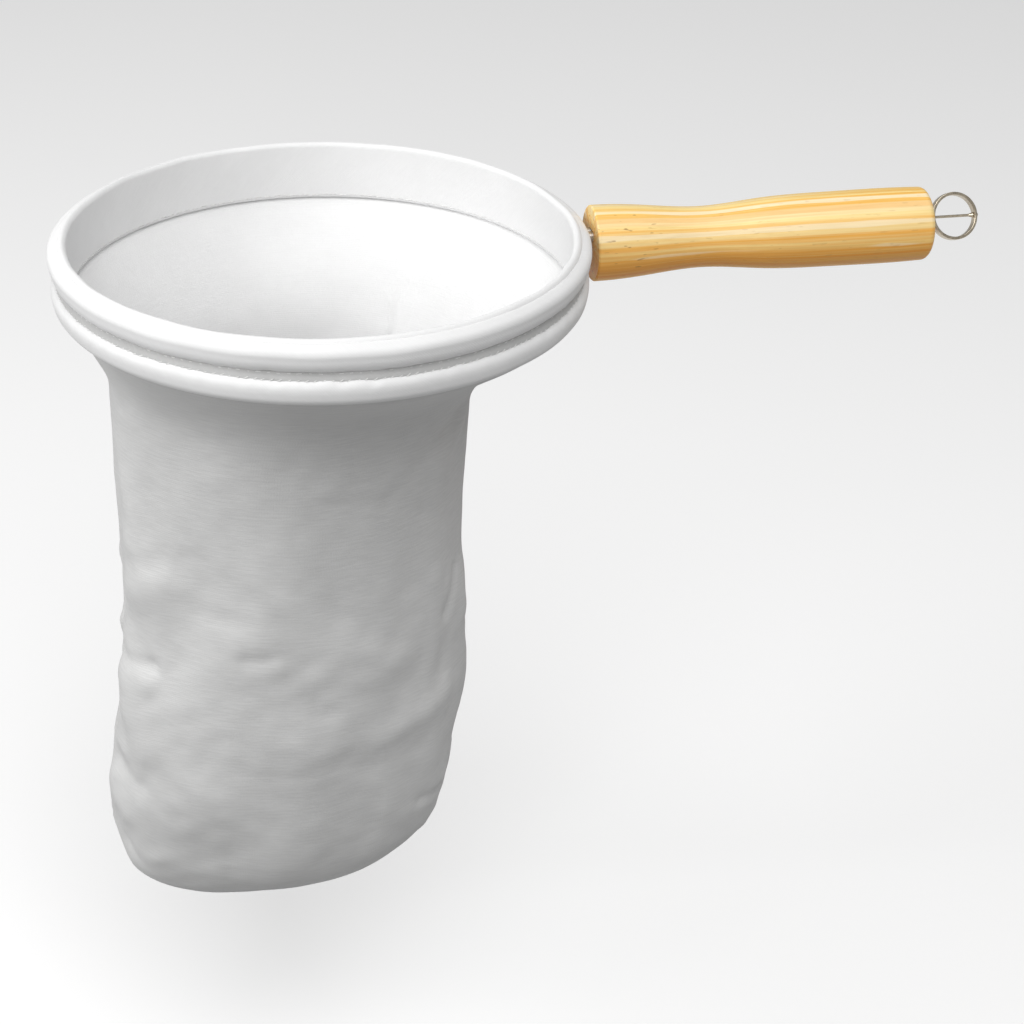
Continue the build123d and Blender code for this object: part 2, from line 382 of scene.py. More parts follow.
# ---------------------------------------------------------------- node tools
class Nodes:
    """Short hand for one material's node tree."""

    def __init__(self, name):
        self.material = bpy.data.materials.new(name)
        self.material.use_nodes = True
        self.tree = self.material.node_tree
        self.shader = self.tree.nodes["Principled BSDF"]

    def add(self, kind, inputs=None, **settings):
        node = self.tree.nodes.new(kind)
        for key, value in settings.items():
            setattr(node, key, value)
        for key, value in (inputs or {}).items():
            if isinstance(value, bpy.types.NodeSocket):
                self.tree.links.new(value, node.inputs[key])
            else:
                node.inputs[key].default_value = value
        return node

    def math(self, operation, a, b=0.0, c=0.0):
        return self.add("ShaderNodeMath", {0: a, 1: b, 2: c}, operation=operation).outputs[0]

    def mapping(self, vector, scale=(1, 1, 1), rotation=(0, 0, 0), location=(0, 0, 0)):
        inputs = {"Vector": vector, "Scale": scale, "Rotation": rotation, "Location": location}
        return self.add("ShaderNodeMapping", inputs).outputs[0]

    def noise(self, vector, scale, detail=2.0, roughness=0.5):
        inputs = {"Vector": vector, "Scale": scale, "Detail": detail, "Roughness": roughness}
        return self.add("ShaderNodeTexNoise", inputs).outputs[0]

    def ramp(self, value, stops):
        node = self.add("ShaderNodeValToRGB", {0: value})
        elements = node.color_ramp.elements
        while len(elements) < len(stops):
            elements.new(0.5)
        for element, (position, shade) in zip(elements, stops):
            element.position = position
            element.color = (*shade, 1.0)
        return node.outputs[0]

    def mix(self, factor, a, b, blend="MIX"):
        node = self.add("ShaderNodeMix", data_type="RGBA", blend_type=blend)
        for key, value in ((0, factor), (6, a), (7, b)):
            if isinstance(value, bpy.types.NodeSocket):
                self.tree.links.new(value, node.inputs[key])
            elif key == 0:
                node.inputs[key].default_value = value
            else:
                node.inputs[key].default_value = (*value, 1.0)
        return node.outputs[2]

    def bump(self, height, strength, distance, normal=None):
        inputs = {"Height": height, "Strength": strength, "Distance": distance}
        if normal is not None:
            inputs["Normal"] = normal
        return self.add("ShaderNodeBump", inputs).outputs[0]

    def connect(self, key, value):
        self.tree.links.new(value, self.shader.inputs[key])


def shade(rgb, factor):
    """A colour made lighter or darker."""
    return tuple(min(1.0, channel * factor) for channel in rgb)


def cloth_material(name, rgb, pitch, turn, nap, slub, cloud=0.03):
    """Woven cloth: two sets of yarns crossing at the given pitch in metres, uneven yarns, soft nap and faint
    mottling."""
    n = Nodes(name)
    uv = n.add("ShaderNodeTexCoord").outputs["UV"]
    turned = n.mapping(uv, rotation=(0, 0, turn))
    wander = n.noise(n.mapping(turned, scale=(300, 300, 1)), 1.0, 2.0)
    weft = n.add(
        "ShaderNodeTexWave",
        {"Vector": turned, "Scale": WEFT_REPEAT / pitch},
        wave_type="BANDS",
        bands_direction="Y",
        wave_profile="SIN",
    ).outputs[1]
    warp = n.add(
        "ShaderNodeTexWave",
        {"Vector": turned, "Scale": WARP_REPEAT / pitch},
        wave_type="BANDS",
        bands_direction="X",
        wave_profile="SIN",
    ).outputs[1]
    streaks = n.noise(n.mapping(turned, scale=(160, 1500, 1)), 1.0, 2.0, 0.6)
    crossing = n.math("MULTIPLY", weft, warp)
    yarns = n.math("ADD", n.math("MULTIPLY", weft, 0.55), n.math("MULTIPLY", crossing, 0.45))
    yarns = n.math("ADD", yarns, n.math("MULTIPLY", wander, 0.5))
    place = n.add("ShaderNodeTexCoord").outputs["Object"]
    mottle = n.noise(place, 34.0, 4.0, 0.6)
    fuzz = n.noise(place, 2600.0, 3.0, 0.7)
    tone = n.ramp(mottle, [(0.28, shade(rgb, 1 - cloud)), (0.72, shade(rgb, 1 + cloud))])
    tone = n.mix(slub, tone, n.ramp(streaks, [(0.30, shade(rgb, 0.86)), (0.70, shade(rgb, 1.07))]))
    tone = n.mix(0.06, tone, n.ramp(yarns, [(0.2, shade(rgb, 0.80)), (0.9, shade(rgb, 1.08))]))
    n.connect("Base Color", tone)
    n.connect("Roughness", n.ramp(fuzz, [(0.2, (0.80,) * 3), (0.8, (0.95,) * 3)]))
    weave = n.bump(yarns, 0.20, 0.00010)
    slubs = n.bump(streaks, 0.22, 0.00012, weave)
    n.connect("Normal", n.bump(fuzz, nap, 0.00025, slubs))
    n.shader.inputs["Specular IOR Level"].default_value = 0.2
    n.shader.inputs["Sheen Weight"].default_value = 0.25
    n.shader.inputs["Sheen Roughness"].default_value = 0.6
    return n.material


def thread_material(name, rgb):
    """Twisted sewing thread: a fine slanted ridge of the plies, with light and dark fibres."""
    n = Nodes(name)
    place = n.add("ShaderNodeTexCoord").outputs["Object"]
    plies = n.add(
        "ShaderNodeTexWave",
        {"Vector": n.mapping(place, rotation=(0.5, 0.3, 0.9)), "Scale": 900.0, "Distortion": 1.5},
        bands_direction="DIAGONAL",
    ).outputs[1]
    fibres = n.noise(place, 1800.0, 2.0)
    n.connect("Base Color", n.ramp(fibres, [(0.3, shade(rgb, 0.82)), (0.7, shade(rgb, 1.05))]))
    n.connect("Roughness", n.ramp(fibres, [(0.2, (0.55,) * 3), (0.8, (0.8,) * 3)]))
    n.connect("Normal", n.bump(plies, 0.4, 0.00008))
    n.shader.inputs["Sheen Weight"].default_value = 0.3
    return n.material


def wood_material(colours):
    """Turned pine. The place round the handle's axis is read as a unit vector, so that the long streaks
    of painted highlight follow the turned outline: they lie where it points at chosen angles, with a little
    wander. Grain lines, fine fibres and flecks near the front are mixed in, with painted shade on the lower
    side and painted light on the top, under lacquer."""
    n = Nodes("lacquered_pine")
    place = n.add("ShaderNodeTexCoord").outputs["Object"]
    from_axis = n.mapping(place, location=(0, 0, -HANDLE_AXIS_Z * MM))
    split = n.add("ShaderNodeSeparateXYZ", {0: from_axis})
    x, y, z = split.outputs
    reach = n.math("SQRT", n.math("ADD", n.math("MULTIPLY", y, y), n.math("MULTIPLY", z, z)))
    reach = n.math("MAXIMUM", reach, 0.0085)
    front = n.math("DIVIDE", n.math("MULTIPLY", y, -1.0), reach)
    top = n.math("DIVIDE", z, reach)
    round_ = n.add("ShaderNodeCombineXYZ", {0: n.math("MULTIPLY", x, 10.0), 1: front, 2: top}).outputs[0]
    wander = n.noise(n.mapping(round_, scale=(1.6, 1.3, 1.3)), 1.0, 2.0)
    lines = n.noise(n.mapping(round_, scale=(0.35, 6.5, 6.5), location=(1, 5, 2)), 1.0, 3.0, 0.6)
    fine = n.noise(n.mapping(round_, scale=(0.9, 26, 26), location=(4, 1, 3)), 1.0, 3.0, 0.65)
    fibres = n.noise(n.mapping(place, scale=(30, 1100, 1100)), 1.0, 3.0, 0.65)
    # Painted shade and light: the lower side is painted darker and the top lighter, by which way the surface
    # faces
    painted_light_by_facing = n.add("ShaderNodeMapRange", {"Value": top, "From Min": -1.0, "From Max": 1.0}).outputs[0]
    base = n.ramp(
        painted_light_by_facing,
        [
            (0.0, colours.underside_painted_shade[:]),
            (0.36, shade(colours.late_wood[:], 1.05)),
            (0.62, colours.early_wood[:]),
            (1.0, shade(colours.early_wood[:], 1.10)),
        ],
    )
    grain = n.ramp(lines, [(0.40, (0.0,) * 3), (0.60, (0.85,) * 3)])
    base = n.mix(grain, base, colours.late_wood[:], "MULTIPLY")
    base = n.mix(n.ramp(fine, [(0.45, (0.0,) * 3), (0.72, (0.40,) * 3)]), base, colours.late_wood[:])
    # Painted highlights: pale streaks where the surface faces the listed angles
    for angle, half_width, strength in HIGHLIGHT_STREAKS:
        aim = np.radians(angle)
        facing = n.math("ADD", n.math("MULTIPLY", front, np.cos(aim)), n.math("MULTIPLY", top, np.sin(aim)))
        stray = n.math("MULTIPLY", n.math("ABSOLUTE", n.math("SUBTRACT", wander, 0.5)), 0.02)
        facing = n.math("SUBTRACT", facing, stray)
        edge = float(np.cos(np.radians(half_width)))
        inputs = {"Value": facing, "From Min": edge, "From Max": 0.5 + edge / 2, "To Max": strength}
        amount = n.add("ShaderNodeMapRange", inputs, interpolation_type="SMOOTHSTEP").outputs[0]
        base = n.mix(amount, base, colours.painted_highlight[:])
    hairs = n.ramp(fibres, [(0.3, (0.80, 0.74, 0.66)), (0.62, (1.0, 1.0, 1.0))])
    base = n.mix(0.45, base, hairs, "MULTIPLY")
    specks = n.noise(n.mapping(place, scale=(240, 1250, 1250)), 1.0, 1.0)
    near = n.add("ShaderNodeMapRange", {"Value": x, "From Min": 0.100, "From Max": 0.080}).outputs[0]
    dots = n.ramp(specks, [(0.68, (0.0,) * 3), (0.74, (1.0,) * 3)])
    fleck = n.math("MULTIPLY", dots, n.math("ADD", near, 0.25))
    base = n.mix(n.math("MULTIPLY", fleck, 0.7), base, (0.30, 0.13, 0.03))
    n.connect("Base Color", base)
    n.connect("Roughness", n.ramp(fibres, [(0.2, (0.38,) * 3), (0.8, (0.52,) * 3)]))
    pores = n.bump(fibres, 0.16, 0.00010)
    n.connect("Normal", n.bump(fine, 0.10, 0.00012, pores))
    n.shader.inputs["Coat Weight"].default_value = 0.08
    n.shader.inputs["Coat Roughness"].default_value = 0.4
    n.shader.inputs["Specular IOR Level"].default_value = 0.3
    return n.material


def steel_material(name, rgb, roughness, stretch):
    """Drawn or rolled steel: fine scratches along the work, faint cloudy tarnish, and small pits."""
    n = Nodes(name)
    place = n.add("ShaderNodeTexCoord").outputs["Object"]
    scratches = n.noise(n.mapping(place, scale=stretch), 1.0, 3.0, 0.7)
    cloud = n.noise(place, 260.0, 3.0)
    tone = n.ramp(cloud, [(0.3, shade(rgb, 0.72)), (0.7, shade(rgb, 1.12))])
    scored = n.ramp(scratches, [(0.3, shade(rgb, 0.7)), (0.7, shade(rgb, 1.2))])
    n.connect("Base Color", n.mix(0.35, tone, scored))
    n.connect("Roughness", n.ramp(scratches, [(0.2, (roughness,) * 3), (0.8, (roughness + 0.16,) * 3)]))
    n.connect("Normal", n.bump(scratches, 0.2, 0.00003))
    n.shader.inputs["Metallic"].default_value = 1.0
    return n.material


def floor_material(rgb):
    """Matt studio floor with a barely visible unevenness and a faint glow."""
    n = Nodes("studio_floor")
    place = n.add("ShaderNodeTexCoord").outputs["Object"]
    cloud = n.noise(place, 3.0, 2.0)
    n.connect("Base Color", n.ramp(cloud, [(0.3, shade(rgb, 0.995)), (0.7, rgb)]))
    n.shader.inputs["Roughness"].default_value = 0.95
    n.shader.inputs["Emission Color"].default_value = (1, 1, 1, 1)
    n.shader.inputs["Emission Strength"].default_value = 0.20
    n.shader.inputs["Specular IOR Level"].default_value = 0.1
    return n.material


def material(name, maker, *args):
    """The material of that name, made the first time it is asked for."""
    return bpy.data.materials.get(name) or maker(*args)


# Outside copy of the bag's cloth, painted darker as shade
def flannel():
    rgb = bpy.context.scene.strainer_colours.flannel[:]
    return material("flannel", cloth_material, "flannel", rgb, 0.00062, 0.0, 0.30, 0.5, 0.08)


# Inside copy of the bag's cloth, painted lighter as light
def brushed_flannel():
    rgb = bpy.context.scene.strainer_colours.brushed[:]
    return material("brushed_flannel", cloth_material, "brushed_flannel", rgb, 0.00062, 0.0, 0.30, 0.10)


def binding():
    rgb = bpy.context.scene.strainer_colours.binding[:]
    return material("binding", cloth_material, "binding", rgb, 0.00055, 0.785, 0.30, 0.12)


# Strip cloth painted darker, as the shade of its recess
def strip_cloth():
    rgb = bpy.context.scene.strainer_colours.strip_painted_shade[:]
    return material("strip_cloth", cloth_material, "strip_cloth", rgb, 0.00045, 0.785, 0.35, 0.3, 0.06)


def sewing_thread():
    rgb = bpy.context.scene.strainer_colours.thread[:]
    return material("sewing_thread", thread_material, "sewing_thread", rgb)


# ---------------------------------------------------------------- the bag
def bag_surface(columns, upper_rows, lower_rows):
    """Middle surface of the empty bag. Above, each height has an ellipse between the side outline's edges, as
    deep as the half depth says. Below, each point moves in a straight line from the last ellipse towards its
    own place on the foot seam while the depth closes like a rounded edge."""
    outline = np.array(OUTLINE)[::-1]
    depth = np.array(HALF_DEPTH)[::-1]
    foot = np.array(FOOT)
    s = np.linspace(0, 2 * np.pi, columns, endpoint=False)
    z = np.interp(np.linspace(0, 1, upper_rows), *zip(*ROW_HEIGHTS))
    left = smooth(z, outline[:, 0], outline[:, 1])
    right = smooth(z, outline[:, 0], outline[:, 2])
    half = smooth(z, depth[:, 0], depth[:, 1])
    x = (left + right)[:, None] / 2 - ((right - left) / 2)[:, None] * np.cos(s)
    y = -half[:, None] * np.sin(s)
    upper = np.stack([x, y, z[:, None] + 0 * s], -1)
    t = np.linspace(0, 1, lower_rows + 1)[1:, None]
    run = np.concatenate([[0], np.cumsum(np.hypot(*np.diff(foot, axis=0).T))])
    share = np.where(s <= np.pi, s / np.pi, 2 - s / np.pi) * run[-1]
    x = (1 - t) * upper[-1, :, 0] + t * smooth(share, run, foot[:, 0])
    y = -half[-1] * (1 - t**1.7) ** 0.75 * np.sin(s)
    z = (1 - t) * upper[-1, :, 2] + t * smooth(share, run, foot[:, 1])
    return np.vstack([upper, np.stack([x, y, z], -1)])


def bag_quads(rows, columns):
    """Faces of the bag, with the two halves of the last row joined along the foot seam."""
    faces = sheet_faces(rows, columns, False, True)
    start = (rows - 1) * columns
    place = np.arange(rows * columns)
    column = np.arange(columns)
    place[start:] = start + np.minimum(column, (columns - column) % columns)
    return place[faces]


def normals_of(points):
    """Outward unit normal of a grid that closes round: the cross product of its two directions."""
    round_ = np.roll(points, -1, 1) - np.roll(points, 1, 1)
    down = np.gradient(points, axis=0)
    normal = np.cross(round_, down)
    length = np.linalg.norm(normal, axis=-1, keepdims=True)
    normal = normal / np.maximum(length, 1e-9)
    outward = points[..., :2] - points[..., :2].mean(1, keepdims=True)
    side = np.sign((normal[..., :2] * outward).sum(-1).mean())
    return normal * side


def fold_field(points, s):
    """How far the cloth stands out, in millimetres: each fold is a bell curve of the distance to its line,
    drawn on the bag unrolled flat, and slow and quick random ripples are added all round."""
    rng = np.random.default_rng(41)
    front = np.array(FRONT_FOLDS, float)
    count = 30
    angle = rng.uniform(195, 345, count)
    height = rng.uniform(-185, -30, count)
    back = np.column_stack(
        [
            angle,
            height,
            angle + rng.uniform(6, 26, count) * rng.choice([-1, 1], count),
            height + rng.uniform(-14, 14, count),
            rng.uniform(0.7, 1.7, count) * rng.choice([-1, 1], count),
            rng.uniform(2.6, 6.5, count),
        ]
    )
    folds = np.vstack([front, back])
    across = np.degrees(s)[None, :] * 0.87 + 0 * points[..., 2]
    a = folds[:, [0, 1]] * (0.87, 1.0)
    b = folds[:, [2, 3]] * (0.87, 1.0)
    dx = across[..., None] - a[:, 0]
    dz = points[..., 2][..., None] - a[:, 1]
    way = b - a
    t = np.clip((dx * way[:, 0] + dz * way[:, 1]) / (way**2).sum(1), 0, 1)
    gap = np.hypot(dx - t * way[:, 0], dz - t * way[:, 1])
    field = (folds[:, 4] * np.exp(-((gap / folds[:, 5]) ** 2))).sum(-1)
    for size, low, high, n in ((0.46, 0.09, 0.20, 36), (0.075, 0.35, 0.75, 44)):
        strength = rng.uniform(low, high, n)
        heading = np.pi / 2 + rng.normal(0, 0.75, n)
        turns = np.round(strength * np.cos(heading) * 50.0)
        rise = strength * np.sin(heading)
        phase = rng.uniform(0, 2 * np.pi, n)
        ripple = np.sin(s[None, :, None] * turns + points[..., 2][..., None] * rise + phase)
        field = field + size * ripple.sum(-1) / np.sqrt(n) * 1.4
    return field


def settle(points, pinned):
    """Cloth simulation of the hanging bag under its own weight, its top rows held. Returns the moved grid."""
    rows, columns = points.shape[:2]
    faces = bag_quads(rows, columns)
    used, index = np.unique(faces, return_inverse=True)
    mesh = bpy.data.meshes.new("settling")
    mesh.from_pydata((points.reshape(-1, 3)[used]).tolist(), [], index.reshape(-1, 4).tolist())
    obj = bpy.data.objects.new("settling", mesh)
    bpy.context.scene.collection.objects.link(obj)
    group = obj.vertex_groups.new(name="held")
    group.add([int(i) for i in np.flatnonzero(pinned.ravel()[used])], 1.0, "REPLACE")
    cloth = obj.modifiers.new("settle", "CLOTH")
    cloth.settings.vertex_group_mass = "held"
    cloth.settings.quality = 6
    cloth.settings.mass = 0.15
    cloth.settings.tension_stiffness = 40
    cloth.settings.compression_stiffness = 20
    cloth.settings.shear_stiffness = 15
    cloth.settings.bending_stiffness = 0.6
    cloth.settings.air_damping = 3
    cloth.collision_settings.use_self_collision = False
    cloth.point_cache.frame_start = 1
    cloth.point_cache.frame_end = SETTLE_FRAMES
    scene = bpy.context.scene
    for number in range(1, SETTLE_FRAMES + 1):
        scene.frame_set(number)
    shaped = obj.evaluated_get(bpy.context.evaluated_depsgraph_get()).to_mesh()
    moved = np.zeros(len(used) * 3)
    shaped.vertices.foreach_get("co", moved)
    bpy.data.objects.remove(obj)
    scene.frame_set(1)
    result = points.reshape(-1, 3).copy()
    result[used] = moved.reshape(-1, 3)
    result = result.reshape(points.shape)
    last = np.arange(columns)
    result[-1] = result[-1][np.minimum(last, (columns - last) % columns)]
    return result


def spread(field, rows, columns):
    """A coarse grid's values read on a finer one, in a straight line between neighbours, closed round."""
    closed = np.concatenate([field, field[:, :1]], 1)
    r = np.linspace(0, field.shape[0] - 1, rows)
    c = np.linspace(0, field.shape[1], columns, endpoint=False)
    r0 = np.minimum(r.astype(int), field.shape[0] - 2)
    c0 = np.minimum(c.astype(int), field.shape[1] - 1)
    fr = (r - r0)[:, None, None]
    fc = (c - c0)[None, :, None]
    top = closed[r0][:, c0] * (1 - fc) + closed[r0][:, c0 + 1] * fc
    low = closed[r0 + 1][:, c0] * (1 - fc) + closed[r0 + 1][:, c0 + 1] * fc
    return top * (1 - fr) + low * fr


def folded_bag(columns, upper_rows, lower_rows, scale):
    """The bag's surface moved along its normals by the fold field, with a shallow valley at the side seams.
    The folds fade out under the rim and at the foot."""
    points = bag_surface(columns, upper_rows, lower_rows)
    s = np.linspace(0, 2 * np.pi, columns, endpoint=False)
    rows = np.linspace(0, 1, len(points))[:, None]
    z = points[..., 2]
    fade = np.clip((-8.0 - z) / 18.0, 0, 1) * np.clip((1 - rows) / 0.05, 0, 1)
    away = np.minimum(np.abs(np.sin(s / 2)), np.abs(np.cos(s / 2))) * 104.0
    seam = -0.55 * np.exp(-((away / 1.3) ** 2)) + 0.18 * np.exp(-(((away - 2.8) / 1.5) ** 2))
    move = (fold_field(points, s) * scale + seam) * fade
    return points + normals_of(points) * move[..., None]


def outer_edge(points):
    """The seam's line: down the first column, along the foot and up the opposite column."""
    half = points.shape[1] // 2
    down = points[:, 0]
    foot = points[-1, 1:half]
    up = points[::-1, half]
    return np.vstack([down, foot, up])


class StrainerBag(bpy.types.Operator):
    """Hanging cloth bag, creased and settled under its own weight"""

    bl_idname = "strainer.cloth_bag"
    bl_label = "Cloth Bag"

    def execute(self, context):
        sizes = context.scene.strainer_sizes
        points = folded_bag(BAG_COLUMNS, UPPER_ROWS, LOWER_ROWS, sizes.fold_depth)
        coarse = folded_bag(BAG_COLUMNS // 2, UPPER_ROWS // 2, LOWER_ROWS // 2, sizes.fold_depth)
        pinned = coarse[..., 2] > HELD_ABOVE
        move = settle(coarse * MM, pinned) / MM - coarse
        for _ in range(SMOOTHING_ROUNDS):
            move = (np.roll(move, 1, 1) + 2 * move + np.roll(move, -1, 1)) / 4
        limit = sizes.settle_limit / MM
        far = np.linalg.norm(move, axis=-1, keepdims=True)
        move = move * np.minimum(1, limit / np.maximum(far, 1e-9))
        points = points + spread(move, len(points), BAG_COLUMNS)
        half = BAG_COLUMNS // 2
        points[-1, :, 1] = 0.0
        points[-1, half + 1 :] = points[-1, 1:half][::-1]
        u = np.linspace(0, 1, BAG_COLUMNS + 1) * WEAVE_GIRTH
        steps = np.linalg.norm(np.diff(points[:, half // 2], axis=0), axis=-1)
        v = np.concatenate([[0], np.cumsum(steps)]) * MM
        faces = bag_quads(len(points), BAG_COLUMNS)
        uv = corner_uv(u, v, False, True)
        used, index = np.unique(faces, return_inverse=True)
        obj = make_mesh("cloth_bag", points.reshape(-1, 3)[used] * MM, index.reshape(-1, 4), uv, flip=True)
        wall = obj.modifiers.new("cloth", "SOLIDIFY")
        wall.thickness = sizes.cloth
        wall.offset = 0.0
        wall.material_offset = 1
        finish_piece(obj, flannel(), ["bag_front_panel", "bag_back_panel"])
        # The inside faces take the cloth copy painted lighter as light
        obj.data.materials.append(brushed_flannel())
        edge = outer_edge(points)
        mesh = bpy.data.meshes.new("seam_line")
        mesh.from_pydata((edge * MM).tolist(), [], [])
        return {"FINISHED"}


class StrainerSeam(bpy.types.Operator):
    """Sewn allowance inside the bag, with its seam stitches"""

    bl_idname = "strainer.side_seam"
    bl_label = "Side Seam"

    def execute(self, context):
        sizes = context.scene.strainer_sizes
        line = bpy.data.meshes["seam_line"]
        edge = np.zeros(len(line.vertices) * 3)
        line.vertices.foreach_get("co", edge)
        bpy.data.meshes.remove(line)
        edge = edge.reshape(-1, 3) / MM
        edge = edge[edge[:, 2] < ALLOWANCE_TOP]
        run = np.concatenate([[0], np.cumsum(np.linalg.norm(np.diff(edge, axis=0), axis=-1))])
        at = np.linspace(0, run[-1], ALLOWANCE_ROWS)
        path = np.column_stack([smooth(at, run[::6], edge[::6, k]) for k in range(3)])
        path[:, 1] = 0.0
        tangent = np.gradient(path, axis=0)
        tangent = tangent / np.linalg.norm(tangent, axis=-1, keepdims=True)
        inward = np.column_stack([-tangent[:, 2], 0 * at, tangent[:, 0]])
        inward = inward * np.sign(((np.array(BAG_INSIDE) - path) * inward).sum(1).mean())
        section = [(0.3, 0.03), (6.0, 0.03), (6.2, 0.4), (6.0, 0.78), (3.0, 0.72), (1.6, 0.60), (0.3, 0.72)]
        section = loop_through(section, PLY_POINTS)
        for side, name in ((-1, "seam_ply_front"), (1, "seam_ply_back")):
            frill = 0.25 * np.sin(at / 3.1 + side) * np.sin(at / 11.0)
            deep = section[None, :, 0] * (1 + 0.03 * np.sin(at / 5.0 + side))[:, None]
            wide = side * section[None, :, 1] + frill[:, None] * (section[None, :, 0] / 6.0) ** 2 * 0.3
            points = path[:, None] + inward[:, None] * deep[..., None]
            points = points + np.array([0, 1.0, 0]) * wide[..., None]
            closed = np.vstack([section, section[:1]])
            u = np.concatenate([[0], np.cumsum(np.hypot(*np.diff(closed, axis=0).T))]) * MM
            faces = sheet_faces(len(path), PLY_POINTS, False, True)
            uv = corner_uv(u, at * MM, False, True)
            k = np.arange(PLY_POINTS // 2 - 1)
            first = np.column_stack([k, k + 1, PLY_POINTS - 2 - k, PLY_POINTS - 1 - k])
            last = first + PLY_POINTS * (len(path) - 1)
            faces = np.vstack([faces, first[:, ::-1], last])
            uv = np.vstack([uv, np.zeros((len(first) * 8, 2))])
            obj = make_mesh(name, points * MM, faces, uv, flip=side > 0)
            finish_piece(obj, flannel(), [])
        count = int(run[-1] / SEAM_STEP)
        where = (np.arange(count) + 0.5) * run[-1] / count
        spot = np.column_stack([np.interp(where, at, path[:, k]) for k in range(3)])
        along = np.column_stack([np.interp(where, at, tangent[:, k]) for k in range(3)])
        into = np.column_stack([np.interp(where, at, inward[:, k]) for k in range(3)])
        rows = []
        for side in (-1, 1):
            out = np.tile([0.0, side, 0.0], (count, 1))
            rows.append((spot + into * SEAM_DEPTH + out * SEAM_STAND, along, out))
        centres, along, out = (np.vstack(part) for part in zip(*rows))
        obj = stitches("seam_stitches", centres * MM, along, out, 0.0023, sizes.thread, 0.00022)
        finish_piece(obj, sewing_thread(), ["side_seam_thread"])
        return {"FINISHED"}


# ---------------------------------------------------------------- the sewn rim
class StrainerBand(bpy.types.Operator):
    """Lining band with its turned-over rounded top"""

    bl_idname = "strainer.lining_band"
    bl_label = "Lining Band"

    def execute(self, context):
        turn = np.linspace(np.pi, -0.25 * np.pi, 22)
        fold = np.column_stack([71.05 + 1.25 * np.cos(turn), 16.4 + 1.3 * np.sin(turn)])
        face = np.column_stack([np.full(16, 69.8), np.linspace(0.9, 15.9, 16)])
        back = np.column_stack([np.full(10, 71.0), np.linspace(13.6, 0.9, 10)])
        hem = np.array([(70.75, 0.45), (70.4, 0.4), (70.05, 0.45)])
        profile = np.vstack([face, fold, [(71.4, 14.6)], back, hem])
        angle = np.linspace(0, 2 * np.pi, BAND_COLUMNS, endpoint=False)
        top = np.clip((profile[:, 1] - 12.0) / 4.0, 0, 1)[:, None]
        low = 1 - np.clip(profile[:, 1] / 8.0, 0, 1)[:, None]
        radial = waves(angle, 5, (4, 26), 0.10)[None] * top + waves(angle, 6, (30, 90), 0.05)[None] * low
        radial = radial * (profile[:, 0] < 70.95)[:, None] + waves(angle, 7, (8, 40), 0.06)[None] * top
        rise = waves(angle, 8, (3, 20), 0.13)[None] * top
        obj = ring_piece("lining_band", profile, BAND_COLUMNS, radial, rise)
        finish_piece(obj, binding(), ["inner_band"])
        return {"FINISHED"}


class StrainerCasing(bpy.types.Operator):
    """Rolled casing that holds the wire hoop"""

    bl_idname = "strainer.wire_casing"
    bl_label = "Wire Casing"

    def execute(self, context):
        section = [
            (71.9, 9.5),
            (72.5, 9.2),
            (73.4, 9.7),
            (74.25, 10.6),
            (74.8, 11.9),
            (75.0, 13.2),
            (75.15, 14.4),
            (74.75, 15.5),
            (73.85, 16.2),
            (72.8, 16.5),
            (72.15, 16.55),
            (71.85, 15.8),
            (71.8, 13.0),
        ]
        profile = loop_through(section, 46)
        r, z = profile.T
        angle = np.linspace(0, 2 * np.pi, ROLL_COLUMNS, endpoint=False)
        outer = np.clip((r - 72.4) / 1.5, 0, 1)[:, None]
        under = np.clip((11.0 - z) / 1.8, 0, 1)[:, None]
        shoulder = np.exp(-(((r - 72.4) / 0.9) ** 2) - ((z - 16.6) / 1.2) ** 2)[:, None]
        radial = waves(angle, 11, (6, 30), 0.06)[None] * outer
        pucker = waves(angle, 12, (60, 110), 0.08)[None] * under * outer
        joint = -0.30 * np.exp(-(((angle - 2.97) / 0.005) ** 2))[None] * outer
        flush = 0.42 * np.clip(np.cos(angle + 1.75) * 1.6 - 0.2, 0, 1)[None] * shoulder
        rise = waves(angle, 13, (5, 24), 0.08)[None] + waves(angle, 14, (40, 95), 0.13)[None] * under + flush
        obj = ring_piece("casing_roll", profile, ROLL_COLUMNS, radial + pucker + joint, rise)
        finish_piece(obj, binding(), ["wire_casing"])
        return {"FINISHED"}


class StrainerStrip(bpy.types.Operator):
    """Narrow recessed strip between the casing and the hem"""

    bl_idname = "strainer.edge_strip"
    bl_label = "Edge Strip"

    def execute(self, context):
        section = [(72.05, 6.5), (73.0, 6.3), (73.3, 7.0), (73.05, 8.3), (72.7, 9.6), (72.05, 9.7)]
        profile = loop_through(section, 24)
        angle = np.linspace(0, 2 * np.pi, BAND_COLUMNS, endpoint=False)
        outer = np.clip((profile[:, 0] - 72.4) / 0.8, 0, 1)[:, None]
        radial = (waves(angle, 21, (40, 120), 0.08)[None] + waves(angle, 22, (5, 20), 0.05)[None]) * outer
        obj = ring_piece("edge_strip", profile, BAND_COLUMNS, radial)
        finish_piece(obj, strip_cloth(), ["hem_strip"])
        return {"FINISHED"}


